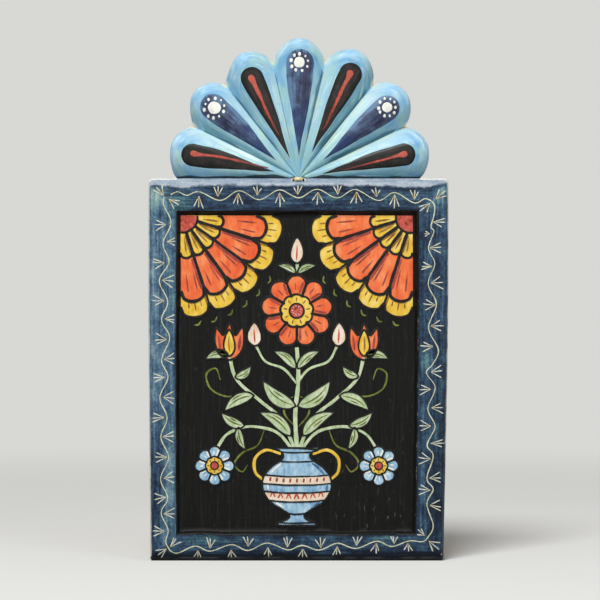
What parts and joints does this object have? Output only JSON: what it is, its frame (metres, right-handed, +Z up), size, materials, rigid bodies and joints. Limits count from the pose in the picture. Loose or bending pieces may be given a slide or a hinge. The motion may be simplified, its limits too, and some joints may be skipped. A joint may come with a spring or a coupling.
{
  "type": "wooden retablo",
  "caption": "Upright carved and painted wooden panel with a raised border, a sunk picture field, a lobed shell crest and a leather hanging lace behind.",
  "frame": {"origin": "middle of the panel's foot, on the surface it stands on and midway through the board", "axes": "+Z up the panel towards the crest, +X to the right as the painted front is seen, the front faces -Y"},
  "size_m": [0.1608, 0.0259, 0.2804],
  "materials": {
    "board_blue": "mottled indigo paint over gesso on pine, satin varnish, bare pine behind",
    "crest_sky": "sky-blue and turquoise brushed paint over gesso on pine, satin varnish",
    "field_black": "black brushed paint, satin varnish",
    "line_cream": "fine cream brush lines",
    "paint_black": "black brush paint",
    "paint_navy": "dark blue brush paint",
    "paint_white": "white dots of paint",
    "paint_red": "red brush paint",
    "paint_orange": "orange-red brush paint",
    "paint_yellow": "yellow brush paint",
    "paint_green": "pale green brush paint",
    "paint_pale_blue": "pale blue brush paint",
    "bare_pine": "bare planed pine",
    "dowel_beech": "bare beech",
    "lace_leather": "pale natural leather"
  },
  "bodies": {
    "root": {"panel_board": "board_blue", "crest_shell": "crest_sky", "crest_dowel_left": "dowel_beech", "crest_dowel_right": "dowel_beech", "lace_stitch": "lace_leather", "lace_loop_left": "lace_leather", "lace_loop_right": "lace_leather", "lace_knot": "lace_leather"}
  },
  "joints": []
}
